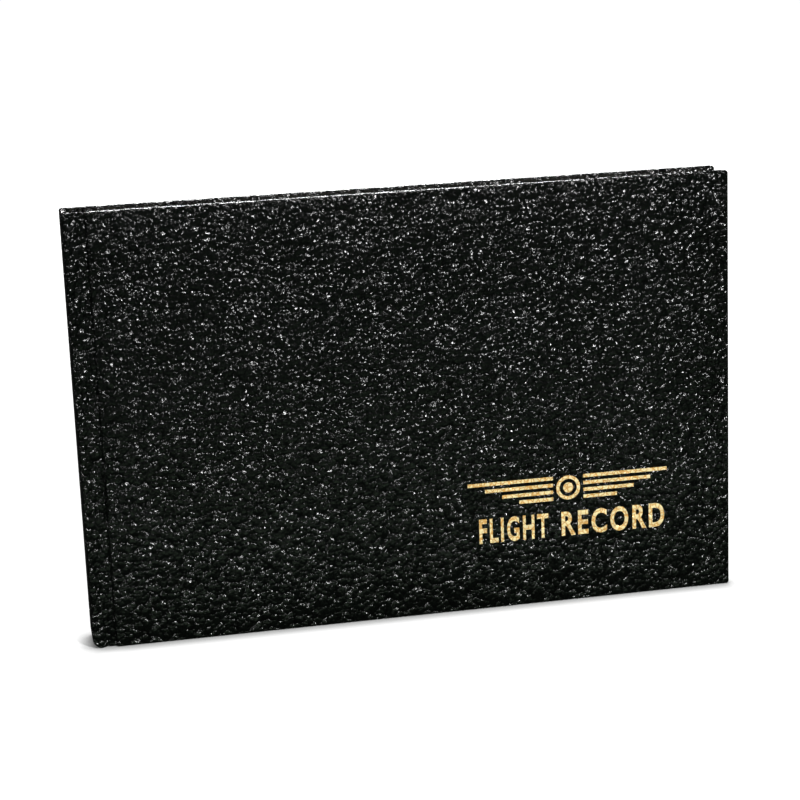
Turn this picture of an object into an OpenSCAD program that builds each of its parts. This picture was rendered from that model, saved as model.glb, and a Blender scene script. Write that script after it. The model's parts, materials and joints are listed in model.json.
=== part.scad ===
// Case-bound landscape logbook, standing on its tail edge with the spine at -X.
// +X runs from spine to fore edge, -Y is the front cover's side, +Z is the head.
// The origin is on the surface it stands on, under the middle of the book.

/* [Case] */
// Length of the cover, spine to fore edge
book_w = 235; // [180:1:300]
// Height of the cover, tail to head
book_h = 154; // [110:1:220]
// Thickness over both covers
book_t = 17; // [14.5:0.5:17]
// Thickness of the leatherette
cloth_t = 0.3; // [0.2:0.05:0.4]
// Width of the leatherette turned in over each board's edges
turn_in = 14; // [8:1:20]
// Distance from the spine's outer face to each board's wrapped edge
groove_end = 8.2; // [7.8:0.1:9]
// Depth of the joint grooves
groove_depth = 1.6; // [1:0.1:2]

/* [Boards] */
// Thickness of the grey board in each cover
board_t = 2.4; // [2:0.1:2.8]
// Thickness of the card that stiffens the spine
inlay_t = 0.8; // [0.5:0.1:1]

/* [Text block] */
// Distance by which the boards stand out past the leaves
square = 3; // [2:0.5:5]
// Number of sewn sections, an even number
sections = 8; // [4:2:8]
// Space in the middle of the block for the loose leaves
gutter = 0.9; // [0.7:0.1:1]
// Thickness of one loose leaf
leaf_t = 0.15; // [0.1:0.01:0.15]
// Hollow between the spine card and the lining of the block
hollow = 0.8; // [0.6:0.1:1.2]

/* [Endpapers] */
// Thickness of the pastedowns, flyleaves and the mull
paper_t = 0.15; // [0.1:0.05:0.2]
// Free space between each pastedown and its flyleaf
flyleaf_gap = 0.3; // [0.2:0.05:0.4]

/* [Foil] */
// Height of the capitals in the title
title_h = 9.3; // [5:0.1:12]
// Width of the title line
title_w = 71.3; // [40:0.1:90]
// Width of the winged ornament
ornament_w = 74.6; // [40:0.1:90]
// Distance of the lettering's right end from the fore edge
foil_right = 24; // [15:0.5:60]
// Height of the title's foot above the tail
title_z = 24.6; // [15:0.1:60]
// Height of the ornament's foot above the tail
ornament_z = 38.3; // [36:0.1:90]

/* [Hidden] */
$fn = 48;

spine_x = -book_w / 2;               // outer face of the spine
fore_x = book_w / 2;                 // fore edge of the covers
face_y = book_t / 2;                 // outer face of each cover
cover_x = spine_x + groove_end;      // wrapped spine edge of each cover
cover_t = cloth_t + board_t + cloth_t + paper_t;
inner_y = face_y - cover_t;          // inner face of each pastedown
flyleaf_y = inner_y - flyleaf_gap;   // outer face of each flyleaf
block_y = flyleaf_y - paper_t - 0.1; // outer face of the outermost section
section_t = (2 * block_y - gutter) / sections;
lining_t = 0.2;
thread_d = 0.3;
block_x = spine_x + cloth_t + inlay_t + hollow + lining_t + paper_t + thread_d + 0.05; // folds
block_end = fore_x - square - 0.5;
groove_y = face_y - groove_depth;    // outer face of the leatherette at the bottom of a groove
fold_x = spine_x + 5.6;              // line on which the spine piece swings
fold_gap = 0.2;                      // space either side of that line
lift_x = cover_x + 4;                // line on which each flyleaf lifts from the block
edge_r = 1.2;                        // rounding of the spine's long edges

leather = [0.05, 0.05, 0.055];
grey_board = [0.55, 0.53, 0.5];
paper = [0.93, 0.92, 0.86];
endpaper = [0.9, 0.89, 0.84];
muslin = [0.85, 0.82, 0.72];
gold = [0.83, 0.65, 0.28];

// Mirrors its children from the front cover's side to the back cover's
module back_side() { mirror([0, 1, 0]) children(); }

// A plate between two X, two Y and two Z values
module plate(x0, x1, y0, y1, z0, z1) {
  translate([x0, y0, z0]) cube([x1 - x0, y1 - y0, z1 - z0]);
}

// ---- one cover, drawn on the front side -------------------------------------------------

module board() {
  plate(cover_x + cloth_t, fore_x - cloth_t, -face_y + cloth_t, -face_y + cloth_t + board_t,
        cloth_t, book_h - cloth_t);
}

// Leatherette round the board: the outer sheet, its four edges and the turned-in rim
module cover_cloth() {
  rim_y = -face_y + 2 * cloth_t + board_t;
  difference() {
    plate(cover_x, fore_x, -face_y, rim_y, 0, book_h);
    board();
    plate(cover_x + turn_in, fore_x - turn_in, -face_y + cloth_t + board_t - 0.01, rim_y + 1,
          turn_in, book_h - turn_in);
  }
}

// Flap of the mull, glued to the inside of the board beside the joint
module mull_flap() {
  flap_w = 16;
  plate(cover_x + turn_in, cover_x + turn_in + flap_w, -inner_y - cloth_t - paper_t,
        -inner_y - cloth_t, turn_in + 2, book_h - turn_in - 2);
}

// Endpaper glued inside the cover: a sheet over the turn-ins, let into the space inside them
module pastedown() {
  z0 = square + 1;
  sink = 0.01;
  difference() {
    union() {
      plate(cover_x + 1, block_end - 0.5, -inner_y - paper_t, -inner_y, z0, book_h - z0);
      plate(cover_x + turn_in, fore_x - turn_in, -inner_y - paper_t - cloth_t, -inner_y - paper_t + sink,
            turn_in, book_h - turn_in);
    }
    mull_flap();
  }
}

// Leatherette at the bottom of the groove, glued to the shoulder of the text block
module hinge_cloth() {
  plate(fold_x + fold_gap, cover_x - 0.3, -groove_y, -groove_y + cloth_t, 0.4, book_h - 0.4);
}

// The free leaf of the endpaper, from the line on which it lifts
module flyleaf() {
  plate(lift_x, block_end, -flyleaf_y, -flyleaf_y + paper_t, square, book_h - square);
}

// The narrow stretch of the endpaper that is pasted to the outermost section
module endpaper_guard() {
  plate(block_x + 0.6, lift_x - 0.15, -flyleaf_y, -flyleaf_y + paper_t, square, book_h - square);
}

module back_board() { color(grey_board) back_side() board(); }
module back_cover_cloth() { color(leather) back_side() cover_cloth(); }
module back_mull_flap() { color(muslin) back_side() mull_flap(); }
module back_pastedown() { color(endpaper) back_side() pastedown(); }
module back_hinge_cloth() { color(leather) back_side() hinge_cloth(); }
module back_flyleaf() { color(endpaper) back_side() flyleaf(); }
module back_endpaper_guard() { color(endpaper) back_side() endpaper_guard(); }
module front_board() { color(grey_board) board(); }
module front_cover_cloth() { color(leather) cover_cloth(); }
module front_mull_flap() { color(muslin) mull_flap(); }
module front_pastedown() { color(endpaper) pastedown(); }
module front_hinge_cloth() { color(leather) hinge_cloth(); }
module front_flyleaf() { color(endpaper) flyleaf(); }
module front_endpaper_guard() { color(endpaper) endpaper_guard(); }

// ---- the spine of the case --------------------------------------------------------------

module spine_inlay() {
  x0 = spine_x + cloth_t;
  color(grey_board) plate(x0, x0 + inlay_t, -face_y + edge_r, face_y - edge_r, cloth_t, book_h - cloth_t);
}

// Half of the trough's outline, from the middle of the spine to the fold line on the front side
module half_trough(inset) {
  shoulder_y = face_y - 0.35;
  difference() {
    union() {
      translate([spine_x + inset, -face_y + edge_r]) square([20, face_y - edge_r]);
      translate([spine_x + edge_r, -shoulder_y + edge_r]) circle(r = edge_r - inset);
      polygon([[spine_x + inset, 0], [spine_x + inset, -shoulder_y + edge_r],
               [spine_x + edge_r, -shoulder_y + inset],
               [fold_x - fold_gap, -groove_y + inset], [fold_x - fold_gap, 0]]);
    }
    translate([fold_x - fold_gap, -20]) square([40, 40]);
  }
}

// Leatherette over the spine card and round both long edges, down to the grooves
module spine_cloth() {
  color(leather) translate([0, 0, 0.3]) linear_extrude(book_h - 0.6) difference() {
    union() {
      half_trough(0);
      mirror([0, 1]) half_trough(0);
    }
    union() {
      half_trough(cloth_t);
      mirror([0, 1]) half_trough(cloth_t);
    }
    translate([spine_x + cloth_t, -face_y + edge_r]) square([20, 2 * (face_y - edge_r)]);
    translate([fold_x - fold_gap - 0.3, -groove_y + cloth_t]) square([1, 2 * (groove_y - cloth_t)]);
  }
}

// ---- the text block ---------------------------------------------------------------------

// Lowest Y of section k, counted from the front
function section_y(k) = -block_y + (k - 1) * section_t + (k > sections / 2 ? gutter : 0);

// A section: folded sheets, so its spine side is a round fold
module section(k) {
  r = section_t / 2 - 0.02;
  color(paper) translate([0, 0, square]) linear_extrude(book_h - 2 * square)
    translate([0, section_y(k) + section_t / 2]) union() {
      translate([block_x + r, 0]) circle(r = r);
      translate([block_x + r, -r]) square([block_end - block_x - r, 2 * r]);
    }
}
module section_1() { section(1); }
module section_2() { section(2); }
module section_3() { section(3); }
module section_4() { section(4); }
module section_5() { section(5); }
module section_6() { section(6); }
module section_7() { section(7); }
module section_8() { section(8); }

// Long stitches along the folds of sections a to b
module sewing(a, b) {
  stations = 4;
  stitch = 18;
  pitch = (book_h - 2 * square) / stations;
  color("white") for (k = [a:b], s = [0:stations - 1])
    translate([block_x - thread_d / 2 - 0.02, section_y(k) + section_t / 2,
               square + pitch * (s + 0.5) - stitch / 2])
      cylinder(d = thread_d, h = stitch);
}
module front_sewing() { sewing(1, sections / 2); }
module rear_sewing() { sewing(sections / 2 + 1, sections); }

// Open-weave cloth glued over the folds
module mull() {
  x1 = block_x - thread_d - 0.05;
  color(muslin) plate(x1 - paper_t, x1, -block_y, block_y, square + 10, book_h - square - 10);
}

// Strong paper glued over the mull
module spine_lining() {
  x1 = block_x - thread_d - 0.05 - paper_t;
  color(paper) plate(x1 - lining_t, x1, -block_y, block_y, square + 2, book_h - square - 2);
}

// Striped bead at one end of the folds, standing a little past the leaves
module band(z) {
  bead_r = 0.6;
  color(paper) translate([block_x - bead_r - 0.02, block_y, z]) rotate([90, 0, 0])
    cylinder(r = bead_r, h = 2 * block_y);
}
module head_band() { band(book_h - square - 0.7); }
module tail_band() { band(square + 0.7); }

// Loose leaves in the middle of the block, numbered from the front
module leaf(k) {
  color(paper) plate(block_x + 0.3, block_end - 0.2, (k - 2) * gutter / 3 - leaf_t / 2,
                     (k - 2) * gutter / 3 + leaf_t / 2, square, book_h - square);
}
module leaf_1() { leaf(1); }
module leaf_2() { leaf(2); }
module leaf_3() { leaf(3); }

// ---- foil on the front cover --------------------------------------------------------------

foil_t = 0.04;
foil_x1 = fore_x - foil_right;       // right end of both lines

// Flat foil from a 2D drawing, its corner at X, Z
module foil(x, z) {
  color(gold) translate([x, -face_y, z]) rotate([90, 0, 0]) linear_extrude(foil_t) children();
}

// A pair of wings, each a stack of bars, either side of a round boss
module foil_ornament() {
  bars = 4;
  h = 9;
  bar = h / (2 * bars - 1);
  reach = ornament_w / 2;
  boss_r = h / 2;
  boss_gap = 1.2;
  foil(foil_x1 - reach, ornament_z) union() {
    translate([0, boss_r]) difference() {
      circle(r = boss_r);
      circle(r = boss_r * 0.72);
    }
    translate([0, boss_r]) circle(r = boss_r * 0.42);
    for (side = [-1, 1], i = [0:bars - 1])
      mirror([side < 0 ? 1 : 0, 0]) translate([boss_r + boss_gap, h - bar - i * 2 * bar])
        square([(reach - boss_r - boss_gap) * (1 - 0.2 * i), bar]);
  }
}

// Block capitals from upright and level bars: each bar is [x0, z0, x1, z1] in a cell of 1 by 1
function strokes(c) =
  c == "F" ? [[0, 0, 0.25, 1], [0, 0.82, 1, 1], [0, 0.42, 0.8, 0.6]] :
  c == "L" ? [[0, 0, 0.25, 1], [0, 0, 1, 0.18]] :
  c == "I" ? [[0.35, 0, 0.65, 1]] :
  c == "G" ? [[0, 0, 0.25, 1], [0, 0.82, 1, 1], [0, 0, 1, 0.18], [0.75, 0, 1, 0.5], [0.5, 0.36, 1, 0.5]] :
  c == "H" ? [[0, 0, 0.25, 1], [0.75, 0, 1, 1], [0, 0.42, 1, 0.6]] :
  c == "T" ? [[0, 0.82, 1, 1], [0.37, 0, 0.63, 1]] :
  c == "R" ? [[0, 0, 0.25, 1], [0, 0.82, 1, 1], [0, 0.42, 1, 0.6], [0.75, 0.42, 1, 1], [0.6, 0, 0.85, 0.5]] :
  c == "E" ? [[0, 0, 0.25, 1], [0, 0.82, 1, 1], [0, 0.42, 0.8, 0.6], [0, 0, 1, 0.18]] :
  c == "C" ? [[0, 0, 0.25, 1], [0, 0.82, 1, 1], [0, 0, 1, 0.18]] :
  c == "O" ? [[0, 0, 0.25, 1], [0.75, 0, 1, 1], [0, 0.82, 1, 1], [0, 0, 1, 0.18]] :
  c == "D" ? [[0, 0, 0.25, 1], [0.75, 0.1, 1, 0.9], [0, 0.82, 0.85, 1], [0, 0, 0.85, 0.18]] : [];

// The title line: plain block capitals
module foil_title() {
  words = "FLIGHT RECORD";
  n = len(words);
  cell = title_w / n;
  letter_w = cell * 0.72;
  shift = (cell - letter_w) / 3;     // evens out the space after the last letter
  foil(foil_x1 - title_w + shift, title_z) for (i = [0:n - 1])
    translate([i * cell, 0]) for (b = strokes(words[i]))
      translate([b[0] * letter_w, b[1] * title_h])
        square([(b[2] - b[0]) * letter_w, (b[3] - b[1]) * title_h]);
}

back_board();
back_cover_cloth();
back_mull_flap();
back_pastedown();
back_hinge_cloth();
back_flyleaf();
back_endpaper_guard();
section_5();
section_6();
section_7();
section_8();
rear_sewing();
mull();
spine_lining();
head_band();
tail_band();
spine_inlay();
spine_cloth();
leaf_1();
leaf_2();
leaf_3();
section_1();
section_2();
section_3();
section_4();
front_sewing();
front_hinge_cloth();
front_endpaper_guard();
front_flyleaf();
front_board();
front_cover_cloth();
front_mull_flap();
front_pastedown();
foil_ornament();
foil_title();
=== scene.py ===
# %% [markdown]
# # A case-bound logbook
# The book stands on its tail edge. +X runs from the spine to the fore edge, -Y is the front cover's side and
# +Z is the head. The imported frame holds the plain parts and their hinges; this file builds the sheets, folds
# and finishes that show. All lengths here are in metres, so one millimetre gets a name first.

# %% Frame
import json
import math
import random

import bmesh
import bpy
from mathutils import Matrix, Vector


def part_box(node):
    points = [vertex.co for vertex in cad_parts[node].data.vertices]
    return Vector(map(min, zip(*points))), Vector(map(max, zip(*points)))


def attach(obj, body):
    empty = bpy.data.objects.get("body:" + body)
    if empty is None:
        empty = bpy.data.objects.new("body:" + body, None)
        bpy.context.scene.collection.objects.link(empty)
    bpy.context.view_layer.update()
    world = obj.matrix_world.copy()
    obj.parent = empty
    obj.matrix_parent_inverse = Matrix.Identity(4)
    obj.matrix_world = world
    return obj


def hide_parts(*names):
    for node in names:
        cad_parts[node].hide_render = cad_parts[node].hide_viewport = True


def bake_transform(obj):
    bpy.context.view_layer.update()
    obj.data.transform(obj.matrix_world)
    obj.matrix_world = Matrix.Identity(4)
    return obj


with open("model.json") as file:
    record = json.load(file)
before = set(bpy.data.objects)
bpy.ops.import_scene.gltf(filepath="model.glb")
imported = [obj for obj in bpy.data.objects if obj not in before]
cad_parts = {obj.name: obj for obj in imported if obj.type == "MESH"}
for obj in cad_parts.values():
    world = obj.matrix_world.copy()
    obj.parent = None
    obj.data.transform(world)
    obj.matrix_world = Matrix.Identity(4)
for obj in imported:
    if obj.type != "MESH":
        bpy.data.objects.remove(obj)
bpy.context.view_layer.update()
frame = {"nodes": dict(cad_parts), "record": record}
MM = 0.001
rng = random.Random(7)

# %% [markdown]
# The driving places come from the frame's own boxes: the covers, the spine and the block of leaves. They
# could be typed in again, but then a change of the plain model would leave the sheets behind.

# %% Places
cover_lo, cover_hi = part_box("front_cover_cloth")
spine_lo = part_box("spine_cloth")[0]
paste_lo, paste_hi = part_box("front_pastedown")
block_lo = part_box("section_4")[0]
inlay_lo, inlay_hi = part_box("spine_inlay")
mull_lo, mull_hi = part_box("mull")
lining_lo, lining_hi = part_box("spine_lining")
book_h = cover_hi.z
cloth_t = 0.3 * MM
paper_t = 0.15 * MM
print("cover", [round(v / MM, 2) for v in cover_hi - cover_lo], "mm")

# %% [markdown]
# ## Shader maths
# A material's sums read best as Python. Wire holds one socket, and its operators add Math nodes. Every other
# node comes from Finish.node, which takes the node's type, its settings and what its sockets are fed. The
# nodes could be wired one by one, but then the sums would be hidden in the wiring.

# %% Wire
class Wire:
    def __init__(self, finish, socket):
        self.finish, self.socket = finish, socket

    def math(self, operation, *others):
        return self.finish.math(operation, self, *others)

    def __add__(self, other):
        return self.math("ADD", other)

    def __sub__(self, other):
        return self.math("SUBTRACT", other)

    def __rsub__(self, other):
        return self.finish.math("SUBTRACT", other, self)

    def __mul__(self, other):
        return self.math("MULTIPLY", other)

    def __truediv__(self, other):
        return self.math("DIVIDE", other)

    def __pow__(self, other):
        return self.math("POWER", other)

    def __lt__(self, other):
        return self.math("LESS_THAN", other)

    def __gt__(self, other):
        return self.math("GREATER_THAN", other)


# %% [markdown]
# Finish makes one material. It starts from the standard shader, sets what stays the same all over, and offers
# the few nodes that the papers, cloths and foil below have in common.

# %% Finish
class Finish:
    def __init__(self, name, **constants):
        self.material = bpy.data.materials.new(name)
        self.material.use_nodes = True
        self.tree = self.material.node_tree
        self.shader = self.tree.nodes["Principled BSDF"]
        self.set(**constants)

    def set(self, **sockets):
        for name, value in sockets.items():
            self.feed(self.shader.inputs[name.replace("_", " ")], value)

    def feed(self, socket, value):
        if isinstance(value, Wire):
            self.tree.links.new(value.socket, socket)
        else:
            socket.default_value = value

    def node(self, kind, settings=None, sockets=None, out=0):
        made = self.tree.nodes.new("ShaderNode" + kind)
        for name, value in (settings or {}).items():
            setattr(made, name, value)
        for name, value in (sockets or {}).items():
            self.feed(made.inputs[name], value)
        return Wire(self, made.outputs[out])

    def math(self, operation, *values):
        return self.node("Math", {"operation": operation}, dict(enumerate(values)))

    def mix(self, share, a, b):
        return self.node("Mix", {"data_type": "RGBA"}, {0: share, 6: a, 7: b}, out=2)

    def bump(self, height, distance, strength=1.0):
        wire = self.node("Bump", None, {"Height": height, "Distance": distance, "Strength": strength})
        self.set(Normal=wire)

    def place(self):
        return self.node("TexCoord", out="Object")

    def rest(self):
        return self.node("Attribute", {"attribute_name": "rest"}, out="Vector")

    def axes(self, vector):
        return [self.node("SeparateXYZ", None, {"Vector": vector}, out=axis) for axis in "XYZ"]

    def step(self, wire, low, high):
        ramp = {"interpolation_type": "SMOOTHSTEP"}
        return self.node("MapRange", ramp, {"Value": wire, "From Min": low, "From Max": high})


def grey(value):
    return (value, value, value, 1.0)


# %% [markdown]
# ## Camera, floor and light
# The book is seen a little from the left and from above, with a long lens. The camera could hang from an
# empty, but two points say all of it: where it stands and what it is aimed at. It is then rolled slightly.

# %% Camera
eye = Vector((-142.1, -710.6, 250.0)) * MM
aim = Vector((-4.5, -8.5, 80.5)) * MM
roll = math.radians(-2.26)
focal_length, sensor_width = 93.93, 36
camera = bpy.data.objects.new("camera", bpy.data.cameras.new("camera"))
bpy.context.scene.collection.objects.link(camera)
bpy.context.scene.camera = camera
camera.data.sensor_width = sensor_width
camera.data.lens = focal_length
camera.location = eye
turn = (aim - eye).to_track_quat("-Z", "Y").to_matrix() @ Matrix.Rotation(roll, 3, "Z")
camera.rotation_euler = turn.to_euler()
print("camera stands", round((aim - eye).length, 3), "m away")

# %% [markdown]
# A finished mesh is put in the scene by one small function. It also writes each point's resting place into an
# attribute called rest, so that a printed pattern stays on a sheet while the sheet bends.

# %% Putting a mesh in the scene
crease_angle = math.radians(40)


def link(name, data):
    made = bpy.data.objects.new(name, data)
    bpy.context.scene.collection.objects.link(made)
    return made


def finished(name, bm, finish, smooth=True):
    mesh = bpy.data.meshes.new(name)
    for face in bm.faces:
        face.smooth = smooth
    bm.to_mesh(mesh)
    bm.free()
    mesh.set_sharp_from_angle(angle=crease_angle)
    rest = mesh.attributes.new("rest", "FLOAT_VECTOR", "POINT")
    rest.data.foreach_set("vector", [value for vert in mesh.vertices for value in vert.co])
    mesh.materials.append(finish)
    return link(name, mesh)


# %% [markdown]
# The floor is a wide pale sheet. A white sweep could be lit until it burns out, but then it would grey the
# black cover by its reflection. So it glows a little by itself and is left out of reflections. Close to the
# book the glow is held back by how open each spot is to the room, which leaves the soft line of shadow that
# any book has under its edge.

# %% Floor
floor_half, glow_near, glow_reach = 14, 0.76, (0.3, 1.1)
shadow_reach, shadow_depth = 7 * MM, 2.6
bm = bmesh.new()
bmesh.ops.create_grid(bm, x_segments=1, y_segments=1, size=floor_half)
paper_floor = Finish("floor", Base_Color=grey(0.5), Roughness=0.9, Specular_IOR_Level=0.0)
away = paper_floor.node("VectorMath", {"operation": "LENGTH"}, {0: paper_floor.place()}, out="Value")
glow = paper_floor.mix(paper_floor.step(away, *glow_reach), grey(glow_near), grey(1.0))
openness = paper_floor.node("AmbientOcclusion", None, {"Distance": shadow_reach}, out="AO")
glow = paper_floor.mix(openness ** shadow_depth, grey(0.02), glow)
paper_floor.set(Emission_Color=glow, Emission_Strength=1.0)
floor = finished("floor", bm, paper_floor.material)
floor.visible_glossy = False
print("floor", 2 * floor_half, "m wide")

# %% [markdown]
# Black leatherette shows almost nothing but reflections. One wide lamp would lay an even grey over it. Small
# lamps in a dark room strike sparks from single pebbles instead, and leave the rest black. The key lamp is in
# front, above and to the right, and a weaker one reaches the spine. Two lamps behind light the top edges,
# and a low greenish one stands for the light that the table sends back to the foot of the cover.

# %% Light
def soft_box(name, place, size, power, target=(0, 0, 0.08)):
    lamp = bpy.data.lights.new(name, "AREA")
    lamp.shape = "RECTANGLE"
    lamp.size, lamp.size_y = size
    lamp.energy = power
    made = link(name, lamp)
    made.location = place
    made.rotation_euler = (Vector(target) - Vector(place)).to_track_quat("-Z", "Y").to_euler()
    made.visible_camera = False
    print(name, "lamp of", power, "W")
    return made


soft_box("key", (0.25, -0.62, 0.47), (0.06, 0.06), 5.8)
soft_box("side", (-1.0, -0.8, 0.5), (0.1, 0.1), 4)
soft_box("top", (0.0, 0.22, 1.2), (0.3, 0.16), 7)
soft_box("back", (0.2, 1.7, 0.65), (0.8, 0.12), 14)
bounce = soft_box("bounce", (0.0, -0.085, 0.014), (0.5, 0.02), 0.024, (0, 0, 0.03))
bounce.data.color = (0.72, 1.0, 0.68)

# %% [markdown]
# The room itself is white to the camera and nearly dark to everything else, so that the book stands on white
# and still has nothing white to reflect.

# %% Room
room_light = 0.02
world = bpy.data.worlds.new("studio")
bpy.context.scene.world = world
world.use_nodes = True
sky = world.node_tree
rays = sky.nodes.new("ShaderNodeLightPath")
strength = sky.nodes.new("ShaderNodeMapRange")
strength.inputs["To Min"].default_value = room_light
sky.links.new(rays.outputs["Is Camera Ray"], strength.inputs["Value"])
sky.links.new(strength.outputs["Result"], sky.nodes["Background"].inputs["Strength"])
sky.nodes["Background"].inputs["Color"].default_value = grey(1.0)
bpy.context.scene.view_settings.view_transform = "Standard"

# %% [markdown]
# ## Leatherette
# The cover stock is a black plastic-coated cloth with an embossed pebble grain. Painted images would give the
# grain too, but a cell pattern in the object's own space runs on round every edge with no seams. Each cell
# makes one pebble: a low dome, leaning its own way by chance, so that here and there one faces a lamp and
# glints. The creases between are a little lower and duller, with a darker colour that is painted shade, and
# a slow noise makes the whole sheet uneven.

# %% Pebble grain
grain, crease_width = 540, 0.16
dome, lean_slope, crease_depth, unevenness = 175, 0.6, 0.00003, 0.00015
wobble_scale, wobble_reach, broad_scale = 420, 2.2 * MM, 300


def pebbles(stock):
    place = stock.place()
    wobble = stock.node("TexNoise", None, {"Vector": place, "Scale": wobble_scale, "Detail": 2}, out="Color")
    wobble = stock.node("VectorMath", {"operation": "SCALE"}, {0: wobble, "Scale": wobble_reach})
    bent = stock.node("VectorMath", {"operation": "ADD"}, {0: place, 1: wobble})
    cells = {"Vector": bent, "Scale": grain}
    middle = stock.node("TexVoronoi", None, cells, out="Position")
    chance = stock.node("TexVoronoi", None, cells, out="Color")
    edge = stock.node("TexVoronoi", {"feature": "DISTANCE_TO_EDGE"}, cells)
    across = stock.node("VectorMath", {"operation": "SUBTRACT"}, {0: bent, 1: middle})
    lean = stock.node("VectorMath", {"operation": "SUBTRACT"}, {0: chance, 1: (0.5, 0.5, 0.5)})
    slope = stock.node("VectorMath", {"operation": "DOT_PRODUCT"}, {0: across, 1: lean}, out="Value")
    square = stock.node("VectorMath", {"operation": "DOT_PRODUCT"}, {0: across, 1: across}, out="Value")
    broad = stock.node("TexNoise", None, {"Vector": place, "Scale": broad_scale, "Detail": 1})
    crease = stock.step(edge, 0.0, crease_width)
    height = crease * crease_depth - square * dome + slope * lean_slope + broad * unevenness
    return crease, height


# %% Leatherette finish
def leatherette():
    pit, crown = (0.0002, 0.0003, 0.0002, 1), (0.0008, 0.0014, 0.0009, 1)
    stock = Finish("leatherette", Specular_IOR_Level=0.4)
    crease, height = pebbles(stock)
    stock.bump(height, 1.0)
    # painted shade: the creases between the pebbles get a darker base colour than the crowns
    stock.set(Base_Color=stock.mix(crease, pit, crown))
    stock.set(Roughness=0.27 - crease * 0.04)
    return stock.material


LEATHER = leatherette()
print("pebbles about", round(1000 / grain, 1), "mm wide")

# %% [markdown]
# ## Paper, board and cloth
# Six plain stocks are used inside. Each is a colour broken by fibres or threads, because flat paint never
# looks like paper. The pages are printed with the ruled table of a flight log: a tinted head, level lines for
# the entries, uneven columns and a heavier rule over the totals. It has no words.

# %% Papers
fibre_height = 0.06 * MM


def fibrous(name, dark, light, scale):
    stock = Finish(name, Roughness=0.85, Specular_IOR_Level=0.2)
    fibres = {"Vector": stock.place(), "Scale": scale, "Detail": 5, "Roughness": 0.7}
    speck = stock.node("TexNoise", None, fibres)
    stock.bump(speck, fibre_height, 0.5)
    stock.set(Base_Color=stock.mix(stock.step(speck, 0.35, 0.65), dark, light))
    return stock


BOARD = fibrous("grey_board", (0.17, 0.16, 0.145, 1), (0.3, 0.285, 0.26, 1), 700).material
ENDPAPER = fibrous("endpaper", (0.55, 0.53, 0.46, 1), (0.64, 0.62, 0.54, 1), 1100).material
LINING = fibrous("lining_paper", (0.3, 0.2, 0.11, 1), (0.42, 0.3, 0.18, 1), 800).material
print("fibrous stocks:", BOARD.name, ENDPAPER.name, LINING.name)

# %% Ruled page
page_head, page_first, page_foot = 146 * MM, 132 * MM, 10 * MM
page_margin, row_pitch, totals_rows = 12 * MM, 6.1 * MM, 3
column_widths = [17, 21, 17, 24, 14, 14, 14, 14, 14, 14, 14, 31]
thin_rule, thick_rule = 0.11 * MM, 0.22 * MM
row_rule = 0.035  # share of a row's pitch


def ruled_page():
    page = Finish("page_paper", Roughness=0.8, Specular_IOR_Level=0.2)
    rest = page.rest()
    x, y, z = page.axes(rest)
    fibre = page.node("TexNoise", None, {"Vector": rest, "Scale": 500, "Detail": 4})
    left = block_lo.x + page_margin
    right = left + sum(column_widths) * MM
    within = (x > left - paper_t) * (x < right + paper_t) * (z > page_foot) * (z < page_head)
    rows = ((z - page_first) / row_pitch).math("FRACT")
    ink = (rows < row_rule) * (z < page_first + 0.1 * MM)
    at = left
    for width in [0] + column_widths:
        at += width * MM
        ink = ink.math("MAXIMUM", (x - at).math("ABSOLUTE") < thin_rule)
    totals = page_foot + totals_rows * row_pitch
    for level in (page_head - 0.2 * MM, page_first, totals, page_foot + 0.2 * MM):
        ink = ink.math("MAXIMUM", (z - level).math("ABSOLUTE") < thick_rule)
    tint = (z > page_first) * within
    paper = page.mix(fibre, (0.6, 0.585, 0.5, 1), (0.7, 0.685, 0.6, 1))
    paper = page.mix(tint, paper, (0.4, 0.54, 0.42, 1))
    page.set(Base_Color=page.mix(ink * within, paper, (0.07, 0.17, 0.12, 1)))
    page.bump(fibre, 0.04 * MM, 0.5)
    return page.material


PAGE = ruled_page()
print("ruled page:", len(column_widths), "columns")

# %% [markdown]
# The mull and the thread are woven and twisted. To model every strand would be heavy for parts so small, so
# the strands are waves in the bump. A weave is two sets of waves at right angles, each passing over the other
# in turn, and a twist is one wave that runs slantwise round the thread.

# %% Woven and twisted
weave, thread_twist, band_stripe = 0.9 * MM, 0.4 * MM, 1.3 * MM


def waves(value, pitch):
    return (value * (2 * math.pi / pitch)).math("SINE")


def woven():
    cloth = Finish("muslin", Roughness=0.9, Specular_IOR_Level=0.15)
    x, y, z = cloth.axes(cloth.rest())
    across, along = waves(y + x, weave), waves(z, weave)
    over = across.math("ABSOLUTE").math("MAXIMUM", along.math("ABSOLUTE"))
    cloth.bump(over, 0.12 * MM)
    # painted shade: the cloth is darker where its weave lies low
    cloth.set(Base_Color=cloth.mix(over, (0.4, 0.37, 0.3, 1), (0.78, 0.74, 0.64, 1)))
    return cloth.material


def twisted(name, colour, shade_and_stripe, pitch, band=False):
    cord = Finish(name, Roughness=0.6, Specular_IOR_Level=0.3)
    x, y, z = cord.axes(cord.rest() if band else cord.place())
    strand = waves((y if band else z) + x * 0.6, pitch)
    share = cord.step(strand, -0.3, 0.3) if band else strand * 0.5 + 0.5
    cord.bump(strand.math("ABSOLUTE") if band else strand, 0.08 * MM)
    # the darker colour is painted shade in the thread's twist grooves, and the headband's own dark stripe
    cord.set(Base_Color=cord.mix(share, shade_and_stripe, colour))
    return cord.material


MUSLIN = woven()
THREAD = twisted("thread", (0.85, 0.83, 0.76, 1), (0.5, 0.48, 0.42, 1), thread_twist)
HEADBAND = twisted("headband", (0.8, 0.78, 0.7, 1), (0.012, 0.016, 0.012, 1), band_stripe, True)
print("woven and twisted:", MUSLIN.name, THREAD.name, HEADBAND.name)

# %% [markdown]
# The foil is thin gold film pressed into the leatherette, so it follows the pebbles underneath. It gets the
# same cells for its bump, a little flatter, because the hot die irons the grain.

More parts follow.
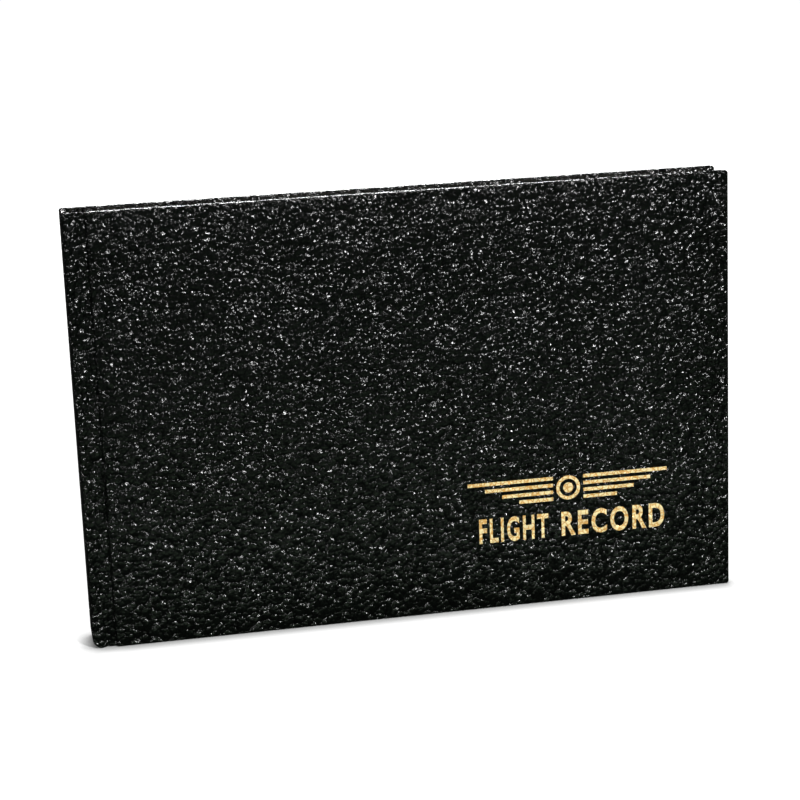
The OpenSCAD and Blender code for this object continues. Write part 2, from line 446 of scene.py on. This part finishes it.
# %% Gold foil
def gold_foil():
    foil = Finish("gold_foil", Metallic=0.5, Specular_IOR_Level=0.8)
    crease, height = pebbles(foil)
    foil.bump(height, 0.35)
    # painted shade: the foil is dark amber in the creases and pale gold on the pebbles' crowns
    foil.set(Base_Color=foil.mix(crease, (0.7, 0.36, 0.08, 1), (1.0, 0.8, 0.44, 1)))
    foil.set(Roughness=0.46 - crease * 0.14)
    return foil.material


GOLD = gold_foil()
print("foil:", GOLD.name)

# %% [markdown]
# ## Helpers for sheets and blocks
# Most of the book is either a flat block with rounded corners or a thin sheet that follows a line. The block
# starts from a cube whose edges are bevelled. The sheet is skinned between copies of its line, and then given
# its thickness on the side away from a chosen direction.

# %% Slab
def slab(lo, hi, corner, rim):
    bm = bmesh.new()
    bmesh.ops.create_cube(bm, size=1)
    bmesh.ops.scale(bm, vec=hi - lo, verts=bm.verts)
    bmesh.ops.translate(bm, vec=(hi + lo) / 2, verts=bm.verts)
    half, middle = (hi.y - lo.y) / 2, (hi.y + lo.y) / 2
    for offset, through in ((corner, True), (rim, False)):
        edges = [e for e in bm.edges if (abs(e.verts[0].co.y - e.verts[1].co.y) > half) == through]
        if not through:
            edges = [e for e in edges if abs(abs(e.verts[0].co.y - middle) - half) < 0.01 * MM]
        if offset:
            bmesh.ops.bevel(bm, geom=edges, offset=offset, segments=4, profile=0.5, affect="EDGES")
    return bm


# %% Skin and thickness
def skin(bm, lines, closed=False):
    chains = []
    for line in lines:
        verts = [bm.verts.new(point) for point in line]
        after = verts[1:] + verts[:1] if closed else verts[1:]
        chains.append([bm.edges.new(pair) for pair in zip(verts, after)])
    for near, far in zip(chains, chains[1:]):
        bmesh.ops.bridge_loops(bm, edges=near + far)


def thicken(bm, thickness, outward):
    bmesh.ops.recalc_face_normals(bm, faces=bm.faces)
    outward = Vector(outward)
    widest = max(bm.faces, key=lambda f: f.calc_area() * abs(f.normal.dot(outward)))
    if widest.normal.dot(outward) < 0:
        bmesh.ops.reverse_faces(bm, faces=bm.faces)
    bmesh.ops.solidify(bm, geom=bm.faces[:], thickness=thickness)


def mirrored(bm):
    bmesh.ops.scale(bm, vec=(1, -1, 1), verts=bm.verts)
    bmesh.ops.reverse_faces(bm, faces=bm.faces)
    return bm


def strip(line, z0, z1, thickness, outward):
    bm = bmesh.new()
    skin(bm, [[(x * MM, y * MM, z) for x, y in line] for z in (z0, z1)])
    thicken(bm, thickness, outward)
    return bm


# %% [markdown]
# Each finished piece is told which plain nodes it takes the place of, which are then hidden, and which body
# carries it. A piece that bends has no one body, so it gets none here.

# %% Placing a piece
def place_piece(piece, slot, body, *nodes):
    if nodes:
        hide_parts(*nodes)
    if body:
        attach(piece, body)
    print(piece.name, len(piece.data.polygons), "faces")
    return piece


# %% [markdown]
# ## The covers
# Each cover is a grey board with the leatherette glued over its outer face, folded over all the edges and
# turned in on the inside. A block would show no edge of cloth inside, so the sheet is made as a real one: a
# rounded box with a window in its inner face, given the cloth's thickness inwards. The board inside is a
# block with corners rounded enough to stay under the cloth. The back one is the front one, mirrored.

# %% Wrapped cover
cover_corner, cover_rim = 1.0 * MM, 0.75 * MM
turn_in = 14 * MM


def wrapped_cover(name, front):
    bm = slab(cover_lo, cover_hi, cover_corner, cover_rim)
    reach = Vector((turn_in, 0, turn_in))
    near, far = cover_lo + reach, cover_hi - reach
    for corner in (near, far):
        for normal in ((1, 0, 0), (0, 0, 1)):
            everything = bm.verts[:] + bm.edges[:] + bm.faces[:]
            bmesh.ops.bisect_plane(bm, geom=everything, plane_co=corner, plane_no=normal)
    middles = [(f, f.calc_center_median()) for f in bm.faces]
    inner = [(f, c) for f, c in middles if c.y > cover_hi.y - MM]
    window = [f for f, c in inner if near.x < c.x < far.x and near.z < c.z < far.z]
    bmesh.ops.delete(bm, geom=window, context="FACES")
    bmesh.ops.solidify(bm, geom=bm.faces[:], thickness=cloth_t)
    return finished(name, bm if front else mirrored(bm), LEATHER)


# %% Boards and both covers
def board(name, front):
    lo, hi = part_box("front_board")
    bm = slab(lo, hi, cover_corner - cloth_t, cover_rim - cloth_t)
    return finished(name, bm if front else mirrored(bm), BOARD)


for side, body in (("front", "front_cover"), ("back", "back_half")):
    cover = wrapped_cover(side + "_cover_leatherette", side == "front")
    place_piece(cover, "leatherette", body, side + "_cover_cloth")
    place_piece(board(side + "_board_core", side == "front"), "grey_board", body, side + "_board")

# %% [markdown]
# The pastedown is the half of the endpaper that is glued inside the cover. A flat plate could stand for it,
# but it lies over the turned-in cloth, and a faint step shows round it where the cloth ends. Two insets make
# that step: one to mark its line, and one that sinks the middle.

# %% Pastedowns
step_inset, step_width, step_depth = 9.6 * MM, 0.7 * MM, 0.13 * MM


def pastedown(name, front):
    lo = Vector((paste_lo.x, paste_hi.y - paper_t, paste_lo.z))
    bm = slab(lo, paste_hi, 0, 0)
    inner = max(bm.faces, key=lambda f: f.calc_center_median().y)
    bmesh.ops.inset_region(bm, faces=[inner], thickness=step_inset)
    bmesh.ops.inset_region(bm, faces=[inner], thickness=step_width, depth=-step_depth)
    return finished(name, bm if front else mirrored(bm), ENDPAPER, smooth=False)


for side, body in (("front", "front_cover"), ("back", "back_half")):
    sheet = pastedown(side + "_pastedown_sheet", side == "front")
    place_piece(sheet, "endpaper", body, side + "_pastedown")

# %% [markdown]
# ## The spine
# At the spine the same leatherette goes round a narrow card and down into the two grooves. At the head and
# the tail it is folded in over the card. The card could be left out, but it shows when the spine swings. The
# sheet's outline is drawn once with a figure for how far it lies inside the outer face, so that the rows at
# the ends can roll inwards. The tail corner is worn rounder than the head one.

# %% Spine outline
# In millimetres: the long edges' rounding, the spine's face, its half thickness, and where its cloth ends.
edge_r, least_r = 1.2, 0.04
spine_face, shoulder, fold = spine_lo.x / MM, 8.15, (-112.1, 6.9)
slope_steps = [(0, 0), (1.3, 0.22), (2.8, 0.8)]  # how the cloth climbs out of the groove
arc_parts = 6


def trough_line(inset, worn):
    radius = max(edge_r - inset, least_r)
    centre = (spine_face + inset + radius, -(shoulder - inset - radius))
    half = [(fold[0] - back, -(fold[1] + up - inset)) for back, up in slope_steps]
    for i in range(arc_parts + 1):
        angle = math.radians(270 - 90 * i / arc_parts)
        half.append((centre[0] + radius * math.cos(angle), centre[1] + radius * math.sin(angle)))
    half = [(x + worn * (fold[0] - x) / (fold[0] - spine_face), y) for x, y in half]
    return half + [(x, -y) for x, y in reversed(half)]


# %% Ends of the spine
# Each row: how far its outer and inner faces lie inside the spine's face, and its height.
end_rows = [(0.5, 1.0, 0.02), (0.22, 1.25, 0.12), (0.06, 1.4, 0.32), (0.0, 1.42, 0.62), (0.0, 1.42, 1.1),
            (0.0, 1.42, 1.7), (0.0, 1.42, 2.4), (0.0, 1.42, 3.2), (0.0, 1.42, 9.0), (0.0, 0.3, 9.1)]


def end_of_spine(worn_r, head):
    rows = []
    for outer, inner, z in end_rows:
        drop = worn_r - math.sqrt(worn_r ** 2 - max(worn_r - z, 0) ** 2)
        loop = trough_line(outer, drop) + trough_line(inner, drop)[::-1]
        height = book_h / MM - z if head else z
        rows.append([(x * MM, y * MM, height * MM) for x, y in loop])
    return rows


# %% Spine sheet
worn_corner, sound_corner = 3.2, 0.6
tail_rows, head_rows = end_of_spine(worn_corner, False), end_of_spine(sound_corner, True)
bm = bmesh.new()
skin(bm, tail_rows + head_rows[::-1], closed=True)
bmesh.ops.holes_fill(bm, edges=[e for e in bm.edges if e.is_boundary], sides=0)
bmesh.ops.recalc_face_normals(bm, faces=bm.faces)
trough = finished("spine_leatherette", bm, LEATHER)
place_piece(trough, "leatherette", "spine", "spine_cloth")

fold_in = 9.0 * MM
card_lo = Vector((inlay_lo.x + 0.02 * MM, inlay_lo.y, inlay_lo.z + fold_in))
card_hi = Vector((inlay_hi.x, inlay_hi.y, inlay_hi.z - fold_in))
card = finished("spine_card", slab(card_lo, card_hi, 0, 0), BOARD, smooth=False)
place_piece(card, "grey_board", "spine", "spine_inlay")

# %% [markdown]
# ## The joints
# Between the spine and each board the leatherette lies in a groove. On the front this strip has to fold when
# the cover opens, so it is carried by no one body. A tongue of it runs on under the spine's edge,
# which keeps the groove shut while the spine swings. Inside, the endpaper crosses the same joint.

# %% Lines of the joint
# Each line goes from the block's side to the cover's, in millimetres of X and Y.
groove_line = [(-113.9, -6.35), (-112.6, -6.35), (-112.14, -6.5), (-112.06, -6.86), (-111.7, -6.92),
               (-111.2, -6.93), (-110.8, -6.93), (-110.4, -6.93), (-110.0, -6.93), (-109.65, -6.97),
               (-109.4, -7.12), (-109.29, -7.45)]
paper_line = [(-114.0, -5.12), (-113.2, -5.13), (-112.4, -5.15), (-111.6, -5.18), (-110.8, -5.22),
              (-110.2, -5.26), (-109.6, -5.31), (-109.0, -5.37), (-108.4, -5.43), (-108.0, -5.44)]
cloth_ends, paper_ends = 0.06 * MM, 4 * MM
cloth_strip_t, paper_strip_t = 0.28 * MM, 0.08 * MM


def finer(line, parts=3):
    points = []
    for (x0, y0), (x1, y1) in zip(line, line[1:]):
        points += [(x0 + (x1 - x0) * i / parts, y0 + (y1 - y0) * i / parts) for i in range(parts)]
    return points + [line[-1]]


# %% Joint strips
def joint_strip(name, line, ends, thickness, finish):
    bm = strip(finer(line), ends, book_h - ends, thickness, (0, -1, 0))
    return finished(name, bm if name.startswith("front") else mirrored(bm), finish)


for side in ("front", "back"):
    outer = joint_strip(side + "_groove_leatherette", groove_line, cloth_ends, cloth_strip_t, LEATHER)
    inner = joint_strip(side + "_joint_paper", paper_line, paper_ends, paper_strip_t, ENDPAPER)
    if side == "front":
        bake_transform(outer)
        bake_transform(inner)
    body = None if side == "front" else "back_half"
    place_piece(outer, "leatherette", body, side + "_hinge_cloth")
    place_piece(inner, "endpaper", body)

# %% [markdown]
# ## Flyleaves and loose leaves
# A plain plate would turn like a board, but a real leaf rises in a curve from the fold. Each one here is a
# sheet cut into strips along its length, so that it can bend from the block to its own hinge over the first
# few centimetres, and one with a hinge is carried by no one body. The back flyleaf has no hinge and lies flat.

# %% Leaves
leaf_cuts = 56


def leaf(name, node, finish, slot_name, parent):
    lo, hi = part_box(node)
    bm = slab(lo, hi, 0, 0)
    lengthwise = [e for e in bm.edges if abs(e.verts[0].co.x - e.verts[1].co.x) > MM]
    bmesh.ops.subdivide_edges(bm, edges=lengthwise, cuts=leaf_cuts, use_grid_fill=True)
    sheet = finished(name, bm, finish, smooth=False)
    if parent:
        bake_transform(sheet)
    place_piece(sheet, slot_name, None if parent else "back_half", node)


leaf("front_flyleaf_sheet", "front_flyleaf", ENDPAPER, "endpaper", "front_half")
leaf("back_flyleaf_sheet", "back_flyleaf", ENDPAPER, "endpaper", None)
for number in (1, 2, 3):
    leaf("leaf_%d_sheet" % number, "leaf_%d" % number, PAGE, "page_paper", "back_half")

# %% [markdown]
# ## The sections
# The block is sewn from sections, each of six sheets folded one inside the other. A solid block with a lined
# texture would be quicker, but the cut edges are seen from above and from the fore edge. So every sheet is
# drawn as a hairpin, from its outline, and raised to its height. The cut ends differ by a hair.

# %% Outline of a folded sheet
sheets, fold_parts = 6, 8
section_r, sheet_pitch, sheet_t, innermost_r = 0.5237, 0.0873, 0.074, 0.012
ragged_fore, ragged_tail, ragged_head = 0.28, 0.1, 0.16


def hairpin(x_fold, y_mid, radius, ends):
    turns = [math.radians(270 - 180 * i / fold_parts) for i in range(fold_parts + 1)]
    outline = []
    for r, order in ((radius, turns), (max(radius - sheet_t, innermost_r), turns[::-1])):
        arc = [(x_fold + section_r + r * math.cos(a), y_mid + r * math.sin(a)) for a in order]
        first, last = (ends[0], arc[0][1]), (ends[1], arc[-1][1])
        if r != radius:
            first, last = (ends[1], arc[0][1]), (ends[0], arc[-1][1])
        outline += [first] + arc + [last]
    return outline


# %% Sections
def section(name, node):
    lo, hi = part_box(node)
    middle = (lo.y + hi.y) / 2 / MM
    bm = bmesh.new()
    for i in range(sheets):
        ends = [hi.x / MM - rng.uniform(0, ragged_fore) for half in range(2)]
        foot = lo.z + rng.uniform(0, ragged_tail) * MM
        top = hi.z - rng.uniform(0, ragged_head) * MM
        outline = hairpin(lo.x / MM, middle, section_r - i * sheet_pitch, ends)
        base = bm.faces.new([bm.verts.new((x * MM, y * MM, foot)) for x, y in outline])
        raised = bmesh.ops.extrude_face_region(bm, geom=[base], use_keep_orig=True)["geom"]
        tops = [v for v in raised if isinstance(v, bmesh.types.BMVert)]
        bmesh.ops.translate(bm, vec=(0, 0, top - foot), verts=tops)
    bmesh.ops.recalc_face_normals(bm, faces=bm.faces)
    return finished(name, bm, PAGE, smooth=False)


for number in range(1, 9):
    half = "front_half" if number <= 4 else "back_half"
    node = "section_%d" % number
    place_piece(section(node + "_sheets", node), "page_paper", half, node)

# %% [markdown]
# ## Behind the folds
# Mull and strong paper are glued across the backs of the sections, with a sewn bead at the head and the tail.
# When the book opens in the middle they flex there, so each is cut finely across, so that it can bend between
# the halves, and carried by no one body. The beads could be left as plain rods, but then they would stay
# behind when the halves part.

# %% Sheets across the folds
flex_cuts, flex_half = 60, 1.4 * MM


def across_folds(name, bm, finish, slot_name, node, smooth=False):
    long_edges = [e for e in bm.edges if abs(e.verts[0].co.y - e.verts[1].co.y) > 5 * MM]
    bmesh.ops.subdivide_edges(bm, edges=long_edges, cuts=flex_cuts, use_grid_fill=True)
    piece = finished(name, bm, finish, smooth)
    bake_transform(piece)
    place_piece(piece, slot_name, None, node)


# %% Mull, lining and beads
across_folds("mull_cloth", slab(mull_lo, mull_hi, 0, 0), MUSLIN, "muslin", "mull")
across_folds("lining_sheet", slab(lining_lo, lining_hi, 0, 0), LINING, "lining_paper", "spine_lining")
for node in ("head_band", "tail_band"):
    lo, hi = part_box(node)
    bm = bmesh.new()
    radius = (hi.z - lo.z) / 2
    upright = Matrix.Rotation(math.radians(90), 3, "X")
    rod = {"cap_ends": True, "segments": 16, "radius1": radius, "radius2": radius, "depth": hi.y - lo.y}
    bmesh.ops.create_cone(bm, **rod)
    bmesh.ops.rotate(bm, matrix=upright, verts=bm.verts)
    bmesh.ops.translate(bm, vec=(lo + hi) / 2, verts=bm.verts)
    across_folds(node + "_bead", bm, HEADBAND, "headband", node, smooth=True)

# %% [markdown]
# ## Foil
# The title is set in the program's own plain letters, made a mesh and pressed narrow. Letters drawn bar by
# bar would look like a stencil. The letters are grown a little so that they read as bold, and stood on the
# cover's face.

# %% Foil letters
title_lo, title_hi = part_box("foil_title")
foil_face = cover_lo.y
letter_weight, letter_spacing, letter_depth, curve_parts = 0.027, 1.22, 0.02, 4
first_share, second_start = 0.37, 0.44


def foil_word(word, x0, x1):
    curve = bpy.data.curves.new(word, "FONT")
    curve.body = word
    curve.size = 1
    curve.offset = letter_weight
    curve.space_character = letter_spacing
    curve.extrude = letter_depth
    curve.resolution_u = curve_parts
    drawn = link(word, curve)
    bpy.context.view_layer.update()
    mesh = bpy.data.meshes.new_from_object(drawn.evaluated_get(bpy.context.evaluated_depsgraph_get()))
    bpy.data.objects.remove(drawn)
    bm = bmesh.new()
    bm.from_mesh(mesh)
    bmesh.ops.remove_doubles(bm, verts=bm.verts, dist=0.0001)
    low = [min(v.co[i] for v in bm.verts) for i in range(3)]
    high = [max(v.co[i] for v in bm.verts) for i in range(3)]
    bmesh.ops.translate(bm, vec=[-value for value in low], verts=bm.verts)
    wanted = (x1 - x0, title_hi.z - title_lo.z, foil_face - title_lo.y)
    bmesh.ops.scale(bm, vec=[w / (b - a) for w, a, b in zip(wanted, low, high)], verts=bm.verts)
    bmesh.ops.rotate(bm, matrix=Matrix.Rotation(math.radians(90), 3, "X"), verts=bm.verts)
    bmesh.ops.translate(bm, vec=(x0, foil_face, title_lo.z), verts=bm.verts)
    bmesh.ops.recalc_face_normals(bm, faces=bm.faces)
    return bm


# %% Foil title
title_w = title_hi.x - title_lo.x
whole = foil_word("FLIGHT", title_lo.x, title_lo.x + first_share * title_w)
second = foil_word("RECORD", title_lo.x + second_start * title_w, title_hi.x)
spare = bpy.data.meshes.new("spare")
second.to_mesh(spare)
whole.from_mesh(spare)
title = finished("title_foil", whole, GOLD, smooth=False)
place_piece(title, "gold_foil", "front_cover", "foil_title")

# %% [markdown]
# ## The plain parts
# What is left keeps its plain solid shape: the thread, the mull's flaps under the pastedowns, the narrow
# glued stretch of each endpaper and the winged ornament. They only need their finishes.

# %% Finishes for the plain parts
finishes = {
    "leatherette": LEATHER, "gold_foil": GOLD, "grey_board": BOARD, "endpaper": ENDPAPER,
    "page_paper": PAGE, "lining_paper": LINING, "muslin": MUSLIN, "thread": THREAD, "headband": HEADBAND,
}
for row in frame["record"]["subparts"]:
    node = frame["nodes"][row["node"]]
    node.data.materials.clear()
    node.data.materials.append(finishes[row["material_slot"]])
